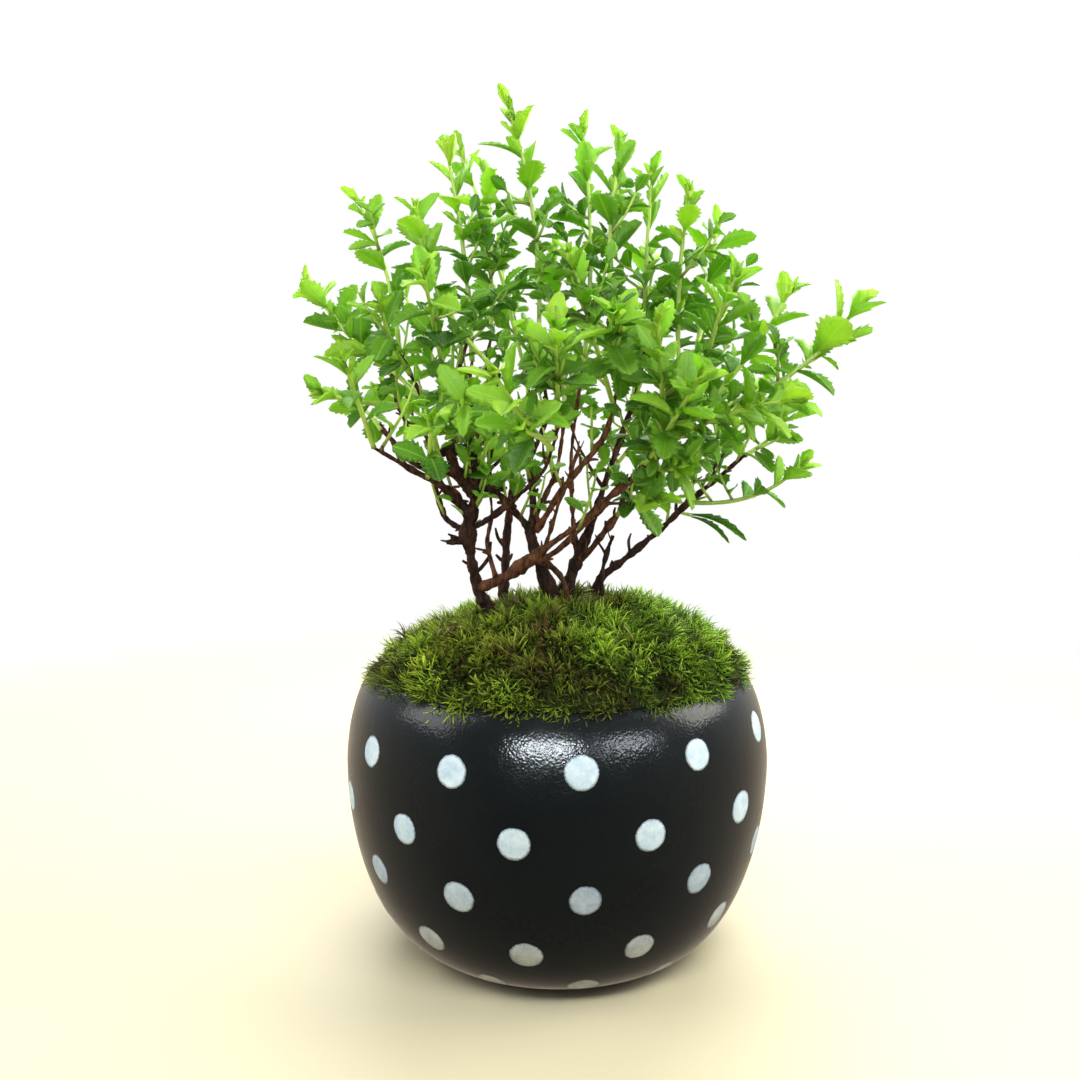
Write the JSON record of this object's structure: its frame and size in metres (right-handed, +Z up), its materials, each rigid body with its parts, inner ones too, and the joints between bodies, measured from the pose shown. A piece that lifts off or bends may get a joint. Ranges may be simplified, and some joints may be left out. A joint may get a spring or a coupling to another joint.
{
  "type": "dwarf spirea bonsai in a round glazed pot",
  "caption": "Multi-stem dwarf spirea bonsai with serrated green leaves, growing through a mound of moss in a squat round black glazed pot with staggered pale dots.",
  "frame": {"origin": "on the floor under the middle of the pot, which is also the middle of the crown's spread", "axes": "+Z up, +X to the right and -Y towards the viewer, seen from the side that the picture shows"},
  "size_m": [0.129, 0.1085, 0.185],
  "materials": {
    "pot_glaze": "semi-gloss black glaze with pale blue-white dots",
    "mesh_plastic": "matte dark green",
    "wire_metal": "dull",
    "gravel": "rough",
    "soil": "damp and crumbly",
    "moss": "soft spiky tufts",
    "bark": "rough flaking bark",
    "leaf": "soft satin leaf"
  },
  "bodies": {
    "root": {"pot": "pot_glaze", "drainage_mesh": "mesh_plastic", "mesh_wire": "wire_metal", "drainage_gravel": "gravel", "soil": "soil", "moss": "moss", "root_crown": "bark", "stem_left": "bark", "stem_upright": "bark", "stem_middle": "bark", "stem_right": "bark", "stem_stub": "bark", "stem_back_left": "bark", "stem_back_right": "bark", "shoot_leftmost": "leaf", "shoot_left_high": "leaf", "shoot_left_tuft": "leaf", "shoot_left_diagonal": "leaf", "shoot_left_crest": "leaf", "shoot_left_dark": "leaf", "shoot_left_spear": "leaf", "shoot_top_left": "leaf", "shoot_top_middle": "leaf", "shoot_top_right": "leaf", "shoot_right_crest": "leaf", "shoot_right_yellow": "leaf", "shoot_right_middle": "leaf", "shoot_right_low_crest": "leaf", "shoot_right_arm": "leaf", "shoot_rightmost": "leaf", "shoot_right_droop": "leaf", "shoot_right_side": "leaf", "shoot_right_low": "leaf", "shoot_right_low_back": "leaf", "shoot_low_front": "leaf", "shoot_low_inner": "leaf", "shoot_left_low_out": "leaf", "shoot_left_low_up": "leaf", "shoot_left_droop": "leaf", "shoot_left_middle": "leaf", "shoot_left_front": "leaf", "shoot_left_inner": "leaf", "shoot_front_middle": "leaf", "shoot_front_right": "leaf", "shoot_front_far_right": "leaf", "shoot_front_left": "leaf", "shoot_front_low": "leaf", "shoot_front_side": "leaf", "shoot_inner_middle": "leaf", "shoot_inner_front": "leaf", "shoot_inner_left": "leaf", "shoot_back_left": "leaf", "shoot_back_far_left": "leaf", "shoot_back_right": "leaf", "shoot_back_middle": "leaf", "shoot_back_low_left": "leaf", "shoot_back_low_right": "leaf", "shoot_back_side_left": "leaf", "shoot_back_side_right": "leaf"}
  },
  "joints": []
}
